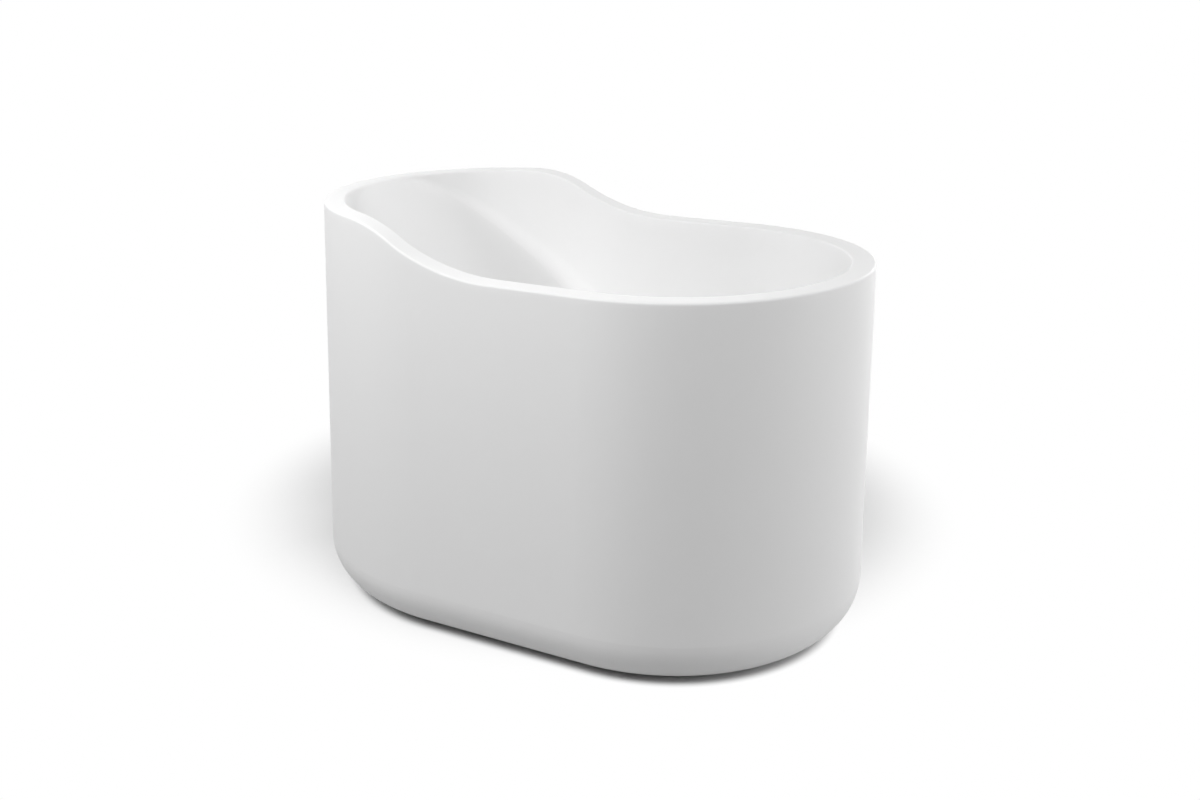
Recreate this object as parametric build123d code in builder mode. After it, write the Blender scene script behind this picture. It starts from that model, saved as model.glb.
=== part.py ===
from build123d import *
from math import asin, cos, degrees, radians, sin, tan
import os

# A free-standing deep soaking tub, cast as an inner basin and an outer skirt that are bonded under the rim.
# Millimetres. The origin is on the floor under the middle of the tub. +X points to the low end, where the
# waste is, +Y to the left of a bather who leans on the backrest, and +Z up.

# Outer wall
foot_length = 1296.0  # the drafted outline where it would meet the floor
foot_width = 892.0
wall_draft = 1.5  # degrees, the wall leans in towards the rim
base_radius = 105.0
skirt_lift = 4.0  # shadow gap under the skirt
skirt_wall = 10.0
foot_ring_width = 40.0  # flat land under the turned-in skirt

# Rim, seen from the side: tall land, shoulder, dip, low land
rim_tall = 908.0
step_start = 374.0  # from the middle towards the tall end
shoulder_radius = 266.0
dip_radius = 478.0
step_angle = 29.0
low_rim_slope = 0.4  # degrees, the rise of the low land where it leaves the dip
low_rim_radius = 36000.0  # long curve of the low land up to the low end
rim_width = 46.0
rim_thickness = 14.0
rim_edge_radius = 6.5

# Bond between basin and skirt
lip_depth = 14.0
lip_thickness = 6.0
bond_gap = 0.4

# Basin
basin_wall = 12.0
basin_draft = 2.0
crease_radius = 60.0
backrest_angle = 42.6  # from the horizontal
backrest_inset = 5.0  # from the inner edge of the tall rim
seat_height = 430.0
seat_setback = 20.0  # from the start of the low end's half-round to the front of the seat
seat_back_radius = 120.0
seat_nose_radius = 50.0
riser_angle = 10.0  # from the vertical
riser_foot_radius = 90.0
well_height = 118.0

# Steel frame under the basin
cross_tube = 25.0
cross_tube_wall = 2.0
long_tube = 30.0
long_tube_wall = 2.5
tube_corner = 3.0
tube_end_clearance = 6.0  # from the outer edge of the foot ring
tube_overhang = 25.0  # of the long tubes past the feet
head_tube_setback = 20.0  # from the start of the tall end's half-round
post_tube = 25.0
post_spacing = 220.0
post_plate = 60.0
post_plate_thickness = 4.0
bearer_width = 44.0
bearer_chamfer = 3.0
bearer_clearance = 6.0
frame_bolt = 8.0
bolt_clearance = 0.3
frame_bolt_head = 13.0  # across flats
frame_bolt_head_height = 5.3
frame_nut_height = 6.5
skirt_screw = 6.0
skirt_screw_head = 12.0
skirt_screw_length = 16.0
skirt_screw_socket = 4.0  # across flats
skirt_screw_socket_depth = 2.0
screw_tip_chamfer = 1.0

# Levelling feet
foot_angle = 40.0  # round each half-round end, from the long axis
foot_clearance = 6.0  # from the edge of the foot ring
pad_diameter = 50.0
pad_base = 5.0
pad_cup_diameter = 24.0
pad_cup_height = 7.0
pad_edge_chamfer = 1.5
ball_diameter = 14.0
ball_floor = 2.2  # pad material left under the ball
stud_diameter = 12.0
stud_neck = 10.0
stud_top = 90.0
stud_hex = 17.0  # across flats
stud_hex_height = 6.0
stud_hex_gap = 2.0  # over the pad
lock_nut = 19.0  # across flats
lock_nut_height = 6.0
bush_diameter = 18.0
bush_flange = 26.0
bush_flange_height = 3.0
thread_play = 0.3
ball_play = 0.3

# Waste in the floor of the well
waste_hole = 50.0
waste_boss_diameter = 100.0
waste_boss_height = 5.0
waste_dish_diameter = 170.0
waste_dish_depth = 1.2
flange_diameter = 72.0
flange_thickness = 3.0
flange_play = 1.0
flange_edge_radius = 1.0
flange_seal_thickness = 1.5
cup_diameter = 46.0
cup_bore = 36.0
cup_depth = 36.0
cross_bar_width = 5.0
cross_bar_height = 6.0
hub_diameter = 18.0
gasket_diameter = 76.0
gasket_thickness = 4.0
tee_collar_diameter = 72.0
tee_collar_height = 5.0
tee_diameter = 56.0
tee_bore = 50.0
tee_thread_depth = 22.0
tee_bottom = 15.0
tee_floor = 3.0
outlet_diameter = 40.0
outlet_bore = 34.0
outlet_level = 38.0
outlet_reach = 78.0  # from the waste's axis
outlet_seat = 46.0  # length of the spigot that a drain pipe's socket goes over
outlet_stop_diameter = 45.0
branch_level = 56.0
branch_reach = 50.0

# Push plug
plug_diameter = 62.0
plug_thickness = 3.5
plug_crown = 2.0
plug_gap = 0.3  # between the shut plug and its seat
plug_seal_diameter = 43.0
plug_seal_thickness = 2.5
plug_seat_play = 0.5
plug_pin = 8.0
plug_pin_length = 24.0
plug_edge_chamfer = 0.8
pin_play = 0.3
barrel_diameter = 17.0
barrel_height = 22.0
barrel_floor = 3.0
barrel_stud = 8.0

# Overflow behind the low end
overflow_below_rim = 82.0
slot_width = 84.0
slot_height = 10.0
overflow_pad_width = 124.0
overflow_pad_height = 46.0
overflow_pad_depth = 4.0
overflow_gasket_thickness = 2.0
overflow_plate_width = 114.0
overflow_plate_height = 38.0
overflow_plate_thickness = 3.0
chamber_width = 90.0
chamber_depth = 22.0
chamber_wall = 2.5
chamber_corner = 4.0
overflow_screw = 4.0
overflow_screw_length = 14.0
overflow_screw_head = 8.0
overflow_screw_head_height = 2.4
overflow_screw_spacing = 102.0
pipe_diameter = 20.0
pipe_bore = 16.0
pipe_bend = 42.0
pipe_entry = 16.0  # how far the pipe goes into each socket
socket_diameter = 24.0
socket_length = 22.0
socket_play = 0.2
union_nut_diameter = 30.0
union_nut_height = 15.0
union_nut_lip = 3.0
union_seal_thickness = 3.0

# Shell levels and outlines that follow from these
wall_lean = tan(radians(wall_draft))
basin_lean = tan(radians(basin_draft))
end_centre = (foot_length - foot_width) / 2
sky = rim_tall + 60
ring_top = skirt_lift + skirt_wall
ring_inner_length = foot_length - 2 * (base_radius + foot_ring_width)
ring_inner_width = foot_width - 2 * (base_radius + foot_ring_width)
rim_inner_half = foot_length / 2 - wall_lean * rim_tall - rim_width
step_run = shoulder_radius * sin(radians(step_angle)) + dip_radius * (
    sin(radians(step_angle)) + sin(radians(low_rim_slope))
)
step_fall = shoulder_radius * (1 - cos(radians(step_angle))) + dip_radius * (
    cos(radians(low_rim_slope)) - cos(radians(step_angle))
)
low_end_slope = asin(sin(radians(low_rim_slope)) + (rim_inner_half + step_start - step_run) / low_rim_radius)
low_end_rim = rim_tall - step_fall + low_rim_radius * (cos(radians(low_rim_slope)) - cos(low_end_slope))

# Seat and well
backrest_rise = tan(radians(backrest_angle))
backrest_foot = backrest_inset - rim_inner_half + (rim_tall - seat_height) / backrest_rise
seat_front = end_centre - seat_setback
riser_foot = seat_front + (seat_height - well_height) * tan(radians(riser_angle))
riser_blend = riser_foot_radius * tan(radians(90 - riser_angle) / 2)
well_underside = well_height - basin_wall
seat_underside = seat_height - basin_wall

# Frame
foot_reach = ring_inner_width / 2 - pad_diameter / 2 - foot_clearance
foot_x = end_centre + foot_reach * cos(radians(foot_angle))
foot_y = foot_reach * sin(radians(foot_angle))
cross_tube_length = ring_inner_width + 2 * (foot_ring_width - tube_end_clearance)
head_tube_x = head_tube_setback - end_centre
seat_back = backrest_foot + seat_back_radius * tan(radians(backrest_angle) / 2)
seat_tube_x = (seat_back + seat_front - seat_nose_radius) / 2
cross_tube_top = ring_top + cross_tube
long_tube_top = cross_tube_top + long_tube
long_tube_length = 2 * (foot_x + tube_overhang)
bearer_start = riser_foot + riser_blend
bearer_end = foot_x - stud_diameter / 2 - bearer_clearance
crossings = [(x, y) for x in (head_tube_x, seat_tube_x) for y in (-foot_y, foot_y)]
feet = [(-foot_x, -foot_y), (-foot_x, foot_y), (foot_x, -foot_y), (foot_x, foot_y)]
socket_bore = pipe_diameter + 2 * socket_play


def basin_half_length(height):
    """Half the length of the bathing space at a height, on the mould draft."""
    return rim_inner_half - basin_lean * (rim_tall - height)


def outer_form(inset, bottom, edge_radius):
    """Solid with the outer wall's draft, set in by a wall and rounded where it turns under."""
    setback = 2 * (inset + wall_lean * bottom)
    with BuildPart() as form:
        with BuildSketch(Plane.XY.offset(bottom)):
            SlotOverall(foot_length - setback, foot_width - setback)
        extrude(amount=sky - bottom, taper=wall_draft)
        fillet(form.faces().sort_by(Axis.Z)[0].edges(), edge_radius)
    return form.part


def space_above_rim(drop):
    """Everything above the rim land, or above a copy of it lowered by drop."""
    with BuildPart() as space:
        with BuildSketch(Plane.XZ):
            with BuildLine():
                tall_land = Line((-foot_length, rim_tall - drop), (-step_start, rim_tall - drop))
                shoulder = JernArc(tall_land @ 1, tall_land % 1, shoulder_radius, -step_angle)
                dip = JernArc(shoulder @ 1, shoulder % 1, dip_radius, step_angle + low_rim_slope)
                low_land = JernArc(dip @ 1, dip % 1, low_rim_radius, degrees(foot_length / low_rim_radius))
                Polyline(low_land @ 1, ((low_land @ 1).X, 2 * sky), (-foot_length, 2 * sky), tall_land @ 0)
            make_face()
        extrude(amount=foot_width, both=True)
    return space.part


def hollow(grow):
    """The bathing space up to the sky, or the outside of the wall round it when grown by the wall."""
    floor = well_height - grow
    half_length = basin_half_length(floor) + grow
    backrest_top = backrest_inset - rim_inner_half - (sky - rim_tall) / backrest_rise
    with BuildPart() as form:
        with BuildSketch(Plane.XY.offset(floor)):
            SlotOverall(2 * half_length, 2 * (half_length - end_centre))
        extrude(amount=sky - floor, taper=-basin_draft)
        with BuildSketch(Plane.XZ):
            with BuildLine():
                FilletPolyline(
                    (backrest_top, sky),
                    (backrest_foot, seat_height),
                    (seat_front, seat_height),
                    (riser_foot, well_height),
                    (foot_length, well_height),
                    (foot_length, sky),
                    radius=[0, seat_back_radius, seat_nose_radius, riser_foot_radius, 0, 0],
                    close=True,
                )
            make_face()
            if grow:
                offset(amount=grow, kind=Kind.INTERSECTION)
        extrude(amount=foot_width, both=True, mode=Mode.INTERSECT)
        swept_faces = form.faces().filter_by(lambda face: len(face.edges().filter_by(Axis.Y)) > 0)
        fillet(swept_faces.edges().filter_by(Axis.Y, reverse=True), crease_radius + grow)
    return form.part


def square_tube(plane, size, wall, length):
    """Square tube with rounded corners, centred on a plane and run both ways along its normal."""
    with BuildPart() as tube:
        with BuildSketch(plane):
            RectangleRounded(size, size, tube_corner)
            RectangleRounded(size - 2 * wall, size - 2 * wall, tube_corner - wall / 2, mode=Mode.SUBTRACT)
        extrude(amount=length / 2, both=True)
    return tube.part


def ring(plane, outer, bore, height):
    """Round washer, seal or sleeve that stands on a plane."""
    with BuildPart() as washer:
        with BuildSketch(plane):
            Circle(outer / 2)
            Circle(bore / 2, mode=Mode.SUBTRACT)
        extrude(amount=height)
    return washer.part


def union_nut(plane):
    """Nut over the mouth of a pipe socket; the plane is at the mouth and faces out of it."""
    with BuildPart() as nut:
        with BuildSketch(plane.offset(union_nut_lip + union_seal_thickness - union_nut_height)):
            RegularPolygon(union_nut_diameter / 2, 12)
        extrude(amount=union_nut_height)
        with BuildSketch(plane.offset(union_seal_thickness)):
            Circle(socket_diameter / 2 + thread_play)
        extrude(amount=-union_nut_height, mode=Mode.SUBTRACT)
        with BuildSketch(plane):
            Circle(socket_bore / 2)
        extrude(amount=union_nut_height, mode=Mode.SUBTRACT)
    return nut.part


os.makedirs("parts", exist_ok=True)

# Skirt: the drafted wall, turned under at the floor into a flat ring that is screwed to the frame
screw_y = (foot_width - foot_ring_width) / 2 - base_radius
screw_places = [(x, y) for x in (head_tube_x, seat_tube_x) for y in (-screw_y, screw_y)]
with BuildPart() as outer_skirt:
    add(outer_form(0, skirt_lift, base_radius))
    add(outer_form(skirt_wall, ring_top, base_radius - skirt_wall), mode=Mode.SUBTRACT)
    with BuildSketch(Plane.XY.offset(skirt_lift)):
        SlotOverall(ring_inner_length, ring_inner_width)
    extrude(amount=skirt_wall, mode=Mode.SUBTRACT)
    add(space_above_rim(rim_thickness), mode=Mode.SUBTRACT)
    with Locations([Plane((x, y, skirt_lift), z_dir=(0, 0, -1)) for x, y in screw_places]):
        CounterSinkHole(skirt_screw / 2, skirt_screw_head / 2, 2 * skirt_wall, 90)
outer_skirt.part.label = "outer_skirt"
export_step(outer_skirt.part, "parts/outer_skirt.step")

# Basin: rim land over the skirt, bonding lip inside it, and the wall round the bathing space
overflow_level = low_end_rim - overflow_below_rim
wall_outside = basin_half_length(overflow_level) + basin_wall
pad_face = wall_outside + overflow_pad_depth
boss_underside = well_underside - waste_boss_height
waste_x = (bearer_start + basin_half_length(well_height) - crease_radius) / 2
flange_top = well_height - waste_dish_depth
flange_underside = flange_top - flange_thickness
recess_floor = flange_underside - flange_seal_thickness
lip_inset = skirt_wall + bond_gap
overflow_plane = Plane((pad_face, 0, overflow_level), x_dir=(0, 1, 0), z_dir=(1, 0, 0))
waste_plane = Plane((waste_x, 0, 0))
with BuildPart() as bonding_lip:
    add(outer_form(lip_inset, ring_top, base_radius / 2))
    add(outer_form(lip_inset + lip_thickness, ring_top, base_radius / 2), mode=Mode.SUBTRACT)
    add(space_above_rim(rim_thickness + lip_depth), mode=Mode.INTERSECT)
with BuildPart() as basin:
    add(outer_form(0, skirt_lift, base_radius))
    add(space_above_rim(rim_thickness), mode=Mode.INTERSECT)
    add(bonding_lip.part)
    add(hollow(basin_wall))
    with BuildSketch(overflow_plane):
        Rectangle(overflow_pad_width, overflow_pad_height)
    extrude(amount=-2 * basin_wall)
    with BuildSketch(waste_plane.offset(boss_underside)):
        Circle(waste_boss_diameter / 2)
    extrude(amount=waste_boss_height + basin_wall / 2)
    add(space_above_rim(0), mode=Mode.SUBTRACT)
    add(hollow(0), mode=Mode.SUBTRACT)
    with BuildSketch(overflow_plane):
        SlotOverall(slot_width, slot_height)
    extrude(amount=-3 * basin_wall, mode=Mode.SUBTRACT)
    with BuildSketch(overflow_plane):
        with GridLocations(overflow_screw_spacing, 0, 2, 1):
            Circle(overflow_screw / 2)
    extrude(amount=-overflow_screw_length, mode=Mode.SUBTRACT)
    with BuildSketch(waste_plane.offset(flange_top)):
        Circle(flange_diameter / 2 + flange_play)
    extrude(amount=recess_floor - flange_top, mode=Mode.SUBTRACT)
    with BuildSketch(waste_plane.offset(flange_top)):
        Circle(flange_diameter / 2 + flange_play)
    with BuildSketch(waste_plane.offset(well_height)):
        Circle(waste_dish_diameter / 2)
    loft(mode=Mode.SUBTRACT)
    with BuildSketch(waste_plane.offset(boss_underside)):
        Circle(waste_hole / 2)
    extrude(amount=well_height, mode=Mode.SUBTRACT)
    land = basin.faces().filter_by(lambda face: face.center().Z > low_end_rim - rim_thickness)
    land = land.filter_by(lambda face: face.normal_at().Z > cos(radians(step_angle + 1)))
    fillet(land.edges().filter_by(Axis.Y, reverse=True), rim_edge_radius)
basin.part.label = "basin"
export_step(basin.part, "parts/basin.step")

# Cross tubes of the frame, laid on the skirt's ring
for name, tube_x in (("cross_tube_head", head_tube_x), ("cross_tube_seat", seat_tube_x)):
    with BuildPart() as cross:
        middle = Plane((tube_x, 0, ring_top + cross_tube / 2), x_dir=(1, 0, 0), z_dir=(0, 1, 0))
        add(square_tube(middle, cross_tube, cross_tube_wall, cross_tube_length))
        with Locations([(tube_x, y, ring_top) for y in (-foot_y, foot_y)]):
            Cylinder(frame_bolt / 2 + bolt_clearance, 3 * cross_tube, mode=Mode.SUBTRACT)
        with Locations([(tube_x, y, ring_top) for y in (-screw_y, screw_y)]):
            Cylinder(skirt_screw / 2, cross_tube, mode=Mode.SUBTRACT)
    cross.part.label = name
    export_step(cross.part, f"parts/{name}.step")

# Long tubes, bolted on the cross tubes, with a hole for a foot's bush near each end
for name, side in (("long_tube_left", 1), ("long_tube_right", -1)):
    with BuildPart() as long:
        middle = Plane((0, side * foot_y, cross_tube_top + long_tube / 2), x_dir=(0, 1, 0), z_dir=(1, 0, 0))
        add(square_tube(middle, long_tube, long_tube_wall, long_tube_length))
        with Locations([(x, side * foot_y, cross_tube_top) for x in (head_tube_x, seat_tube_x)]):
            Cylinder(frame_bolt / 2 + bolt_clearance, 3 * long_tube, mode=Mode.SUBTRACT)
        with Locations([(x, side * foot_y, cross_tube_top) for x in (-foot_x, foot_x)]):
            Cylinder(bush_diameter / 2, 3 * long_tube, mode=Mode.SUBTRACT)
    long.part.label = name
    export_step(long.part, f"parts/{name}.step")

# Bolts and nuts where the tubes cross
nut_level = ring_top - frame_nut_height
with BuildPart() as frame_bolts:
    with BuildSketch(Plane.XY.offset(long_tube_top)):
        with Locations(crossings):
            RegularPolygon(frame_bolt_head / 2, 6, major_radius=False)
    extrude(amount=frame_bolt_head_height)
    with BuildSketch(Plane.XY.offset(nut_level)):
        with Locations(crossings):
            Circle(frame_bolt / 2)
    extrude(amount=long_tube_top - nut_level)
frame_bolts.part.label = "frame_bolts"
export_step(frame_bolts.part, "parts/frame_bolts.step")

with BuildPart() as frame_nuts:
    with BuildSketch(Plane.XY.offset(nut_level)):
        with Locations(crossings):
            RegularPolygon(frame_bolt_head / 2, 6, major_radius=False)
            Circle(frame_bolt / 2, mode=Mode.SUBTRACT)
    extrude(amount=frame_nut_height)
frame_nuts.part.label = "frame_nuts"
export_step(frame_nuts.part, "parts/frame_nuts.step")

# Countersunk screws from below, through the skirt's ring into the cross tubes
with BuildPart() as skirt_screws:
    with BuildSketch(Plane.XY.offset(skirt_lift)):
        with Locations(screw_places):
            Circle(skirt_screw / 2)
    extrude(amount=skirt_screw_length)
    chamfer(skirt_screws.edges().group_by(Axis.Z)[-1], screw_tip_chamfer)
    with BuildSketch(Plane.XY.offset(skirt_lift)):
        with Locations(screw_places):
            Circle(skirt_screw_head / 2)
    extrude(amount=(skirt_screw_head - skirt_screw) / 2, taper=45)
    with BuildSketch(Plane.XY.offset(skirt_lift)):
        with Locations(screw_places):
            RegularPolygon(skirt_screw_socket / 2, 6, major_radius=False)
    extrude(amount=skirt_screw_socket_depth, mode=Mode.SUBTRACT)
skirt_screws.part.label = "skirt_screws"
export_step(skirt_screws.part, "parts/skirt_screws.step")

# Seat posts: a tube with a plate at each end, from the cross tube to the underside of the seat
post_length = seat_underside - cross_tube_top
for name, side in (("seat_post_left", 1), ("seat_post_right", -1)):
    post_plane = Plane((seat_tube_x, side * post_spacing / 2, cross_tube_top))
    with BuildPart() as post:
        add(square_tube(post_plane.offset(post_length / 2), post_tube, cross_tube_wall, post_length))
        with BuildSketch(post_plane, post_plane.offset(post_length - post_plate_thickness)):
            RectangleRounded(post_plate, post_plate, tube_corner)
        extrude(amount=post_plate_thickness)
    post.part.label = name
    export_step(post.part, f"parts/{name}.step")

# Bearers: hardwood blocks between the long tubes and the underside of the well
for name, side in (("well_bearer_left", 1), ("well_bearer_right", -1)):
    with BuildPart() as bearer:
        with BuildSketch(Plane(((bearer_start + bearer_end) / 2, side * foot_y, long_tube_top))):
            Rectangle(bearer_end - bearer_start, bearer_width)
        extrude(amount=well_underside - long_tube_top)
        chamfer(bearer.edges().filter_by(Axis.Z), bearer_chamfer)
    bearer.part.label = name
    export_step(bearer.part, f"parts/{name}.step")

# Threaded bushes through the long tubes, and the lock nuts tight under their flanges
bush_bore = stud_diameter + 2 * thread_play
bush_level = cross_tube_top - bush_flange_height
with BuildPart() as foot_bushes:
    with BuildSketch(Plane.XY.offset(bush_level)):
        with Locations(feet):
            Circle(bush_flange / 2)
    extrude(amount=bush_flange_height)
    with BuildSketch(Plane.XY.offset(cross_tube_top)):
        with Locations(feet):
            Circle(bush_diameter / 2)
    extrude(amount=long_tube)
    with BuildSketch(Plane.XY.offset(bush_level)):
        with Locations(feet):
            Circle(bush_bore / 2)
    extrude(amount=bush_flange_height + long_tube, mode=Mode.SUBTRACT)
foot_bushes.part.label = "foot_bushes"
export_step(foot_bushes.part, "parts/foot_bushes.step")

with BuildPart() as foot_lock_nuts:
    with BuildSketch(Plane.XY.offset(bush_level)):
        with Locations(feet):
            RegularPolygon(lock_nut / 2, 6, major_radius=False)
            Circle(bush_bore / 2, mode=Mode.SUBTRACT)
    extrude(amount=-lock_nut_height)
foot_lock_nuts.part.label = "foot_lock_nuts"
export_step(foot_lock_nuts.part, "parts/foot_lock_nuts.step")

# Levelling feet: the stud's ball end snaps into the cup of the pad, which swivels on it
ball_radius = ball_diameter / 2
ball_centre = ball_floor + ball_play + ball_radius
pad_top = pad_base + pad_cup_height
hex_level = pad_top + stud_hex_gap
for number, (x, y) in enumerate(feet, 1):
    with BuildPart() as stud:
        with Locations((x, y, ball_centre)):
            Sphere(ball_radius)
        with BuildSketch(Plane((x, y, ball_centre))):
            Circle(stud_neck / 2)
        extrude(amount=hex_level - ball_centre)
        with BuildSketch(Plane((x, y, hex_level))):
            RegularPolygon(stud_hex / 2, 6, major_radius=False)
        extrude(amount=stud_hex_height)
        with BuildSketch(Plane((x, y, hex_level + stud_hex_height))):
            Circle(stud_diameter / 2)
        extrude(amount=stud_top - hex_level - stud_hex_height)
        chamfer(stud.edges().group_by(Axis.Z)[-1], screw_tip_chamfer)
    stud.part.label = f"foot_stud_{number}"
    export_step(stud.part, f"parts/foot_stud_{number}.step")
    with BuildPart() as pad:
        with BuildSketch(Plane((x, y, 0))):
            Circle(pad_diameter / 2)
        extrude(amount=pad_base)
        chamfer(pad.edges().group_by(Axis.Z)[-1], pad_edge_chamfer)
        with BuildSketch(Plane((x, y, pad_base))):
            Circle(pad_cup_diameter / 2)
        extrude(amount=pad_cup_height)
        chamfer(pad.edges().group_by(Axis.Z)[-1], pad_edge_chamfer)
        with Locations((x, y, ball_centre)):
            Sphere(ball_radius + ball_play, mode=Mode.SUBTRACT)
    pad.part.label = f"foot_pad_{number}"
    export_step(pad.part, f"parts/foot_pad_{number}.step")

# Waste flange: a cup through the floor of the well, with a cross bar and hub that carry the latch
plug_underside = flange_top + plug_gap
seal_seat = plug_underside - plug_seal_thickness - plug_gap
cup_end = flange_underside - cup_depth
hub_top = cup_end + cross_bar_height
with BuildPart() as waste_flange:
    with BuildSketch(waste_plane.offset(flange_underside)):
        Circle(flange_diameter / 2)
    extrude(amount=flange_thickness)
    fillet(waste_flange.edges().group_by(Axis.Z)[-1], flange_edge_radius)
    with BuildSketch(waste_plane.offset(cup_end)):
        Circle(cup_diameter / 2)
    extrude(amount=cup_depth)
    with BuildSketch(waste_plane.offset(cup_end)):
        Circle(cup_bore / 2)
    extrude(amount=cup_depth + flange_thickness, mode=Mode.SUBTRACT)
    with BuildSketch(waste_plane.offset(flange_top)):
        Circle(plug_seal_diameter / 2 + plug_seat_play)
    extrude(amount=seal_seat - flange_top, mode=Mode.SUBTRACT)
    with BuildSketch(waste_plane.offset(cup_end)):
        Rectangle((cup_diameter + cup_bore) / 2, cross_bar_width)
        Rectangle(cross_bar_width, (cup_diameter + cup_bore) / 2)
        Circle(hub_diameter / 2)
    extrude(amount=cross_bar_height)
    with BuildSketch(waste_plane.offset(cup_end)):
        Circle(barrel_stud / 2)
    extrude(amount=cross_bar_height, mode=Mode.SUBTRACT)
waste_flange.part.label = "waste_flange"
export_step(waste_flange.part, "parts/waste_flange.step")

# Washer between flange and basin, and the gasket between basin and tee
with BuildPart() as waste_flange_seal:
    seal_outer = flange_diameter - 2 * flange_play
    add(ring(waste_plane.offset(recess_floor), seal_outer, waste_hole, flange_seal_thickness))
waste_flange_seal.part.label = "waste_flange_seal"
export_step(waste_flange_seal.part, "parts/waste_flange_seal.step")

gasket_level = boss_underside - gasket_thickness
thread_bore = cup_diameter + 2 * thread_play
with BuildPart() as waste_gasket:
    add(ring(waste_plane.offset(gasket_level), gasket_diameter, thread_bore, gasket_thickness))
waste_gasket.part.label = "waste_gasket"
export_step(waste_gasket.part, "parts/waste_gasket.step")

# Waste tee: screwed up on the cup, its outlet points to the middle and its branch to the low end
outlet_plane = Plane((waste_x, 0, outlet_level), x_dir=(0, 1, 0), z_dir=(-1, 0, 0))
branch_plane = Plane((waste_x, 0, branch_level), x_dir=(0, 1, 0), z_dir=(1, 0, 0))
with BuildPart() as waste_tee:
    with BuildSketch(waste_plane.offset(tee_bottom)):
        Circle(tee_diameter / 2)
    extrude(amount=gasket_level - tee_bottom)
    fillet(waste_tee.edges().group_by(Axis.Z)[0], tee_floor)
    with BuildSketch(waste_plane.offset(gasket_level)):
        Circle(tee_collar_diameter / 2)
    extrude(amount=-tee_collar_height)
    with BuildSketch(outlet_plane):
        Circle(outlet_diameter / 2)
    extrude(amount=outlet_reach)
    with BuildSketch(outlet_plane):
        Circle(outlet_stop_diameter / 2)
    extrude(amount=outlet_reach - outlet_seat)
    with BuildSketch(branch_plane):
        Circle(socket_diameter / 2)
    extrude(amount=branch_reach)
    with BuildSketch(waste_plane.offset(gasket_level)):
        Circle(thread_bore / 2)
    extrude(amount=-tee_thread_depth, mode=Mode.SUBTRACT)
    with BuildSketch(waste_plane.offset(gasket_level - tee_thread_depth)):
        Circle(tee_bore / 2)
    extrude(amount=tee_bottom + tee_floor + tee_thread_depth - gasket_level, mode=Mode.SUBTRACT)
    with BuildSketch(outlet_plane):
        Circle(outlet_bore / 2)
    extrude(amount=outlet_reach, mode=Mode.SUBTRACT)
    with BuildSketch(branch_plane):
        Circle(pipe_bore / 2)
    extrude(amount=branch_reach, mode=Mode.SUBTRACT)
    with BuildSketch(branch_plane.offset(branch_reach)):
        Circle(socket_bore / 2)
    extrude(amount=-pipe_entry, mode=Mode.SUBTRACT)
waste_tee.part.label = "waste_tee"
export_step(waste_tee.part, "parts/waste_tee.step")

# Latch barrel on the hub, in which the plug's pin clicks down and up
with BuildPart() as plug_barrel:
    with BuildSketch(waste_plane.offset(hub_top)):
        Circle(barrel_diameter / 2)
    extrude(amount=barrel_height)
    with BuildSketch(waste_plane.offset(hub_top)):
        Circle(barrel_stud / 2)
    extrude(amount=-cross_bar_height)
    with BuildSketch(waste_plane.offset(hub_top + barrel_height)):
        Circle(plug_pin / 2 + pin_play)
    extrude(amount=barrel_floor - barrel_height, mode=Mode.SUBTRACT)
plug_barrel.part.label = "plug_barrel"
export_step(plug_barrel.part, "parts/plug_barrel.step")

# Plug: a domed cap with its pin, and the seal round the pin that shuts in the flange
crown_radius = (plug_diameter**2 / 4 + plug_crown**2) / (2 * plug_crown)
with BuildPart() as plug_cap:
    with BuildSketch(Plane((waste_x, 0, plug_underside), x_dir=(1, 0, 0), z_dir=(0, -1, 0))):
        with BuildLine():
            rim = (plug_diameter / 2, plug_thickness)
            dome = RadiusArc((0, plug_thickness + plug_crown), rim, crown_radius)
            Polyline(rim, (plug_diameter / 2, 0), (0, 0), dome @ 0)
        make_face()
    revolve(axis=Axis((waste_x, 0, 0), (0, 0, 1)))
    chamfer(plug_cap.edges().sort_by(SortBy.LENGTH)[-2:], plug_edge_chamfer)
    with BuildSketch(waste_plane.offset(plug_underside)):
        Circle(plug_pin / 2)
    extrude(amount=-plug_pin_length)
    chamfer(plug_cap.edges().group_by(Axis.Z)[0], screw_tip_chamfer)
plug_cap.part.label = "plug_cap"
export_step(plug_cap.part, "parts/plug_cap.step")

with BuildPart() as plug_seal:
    seal_plane = waste_plane.offset(plug_underside - plug_seal_thickness)
    add(ring(seal_plane, plug_seal_diameter, plug_pin, plug_seal_thickness))
plug_seal.part.label = "plug_seal"
export_step(plug_seal.part, "parts/plug_seal.step")

# Overflow: gasket and slim chamber over the slot, held by two screws in the pad
with BuildPart() as overflow_gasket:
    with BuildSketch(overflow_plane):
        RectangleRounded(overflow_plate_width, overflow_plate_height, chamber_corner)
        SlotOverall(slot_width, slot_height, mode=Mode.SUBTRACT)
        with GridLocations(overflow_screw_spacing, 0, 2, 1):
            Circle(overflow_screw / 2 + bolt_clearance, mode=Mode.SUBTRACT)
    extrude(amount=overflow_gasket_thickness)
overflow_gasket.part.label = "overflow_gasket"
export_step(overflow_gasket.part, "parts/overflow_gasket.step")

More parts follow.
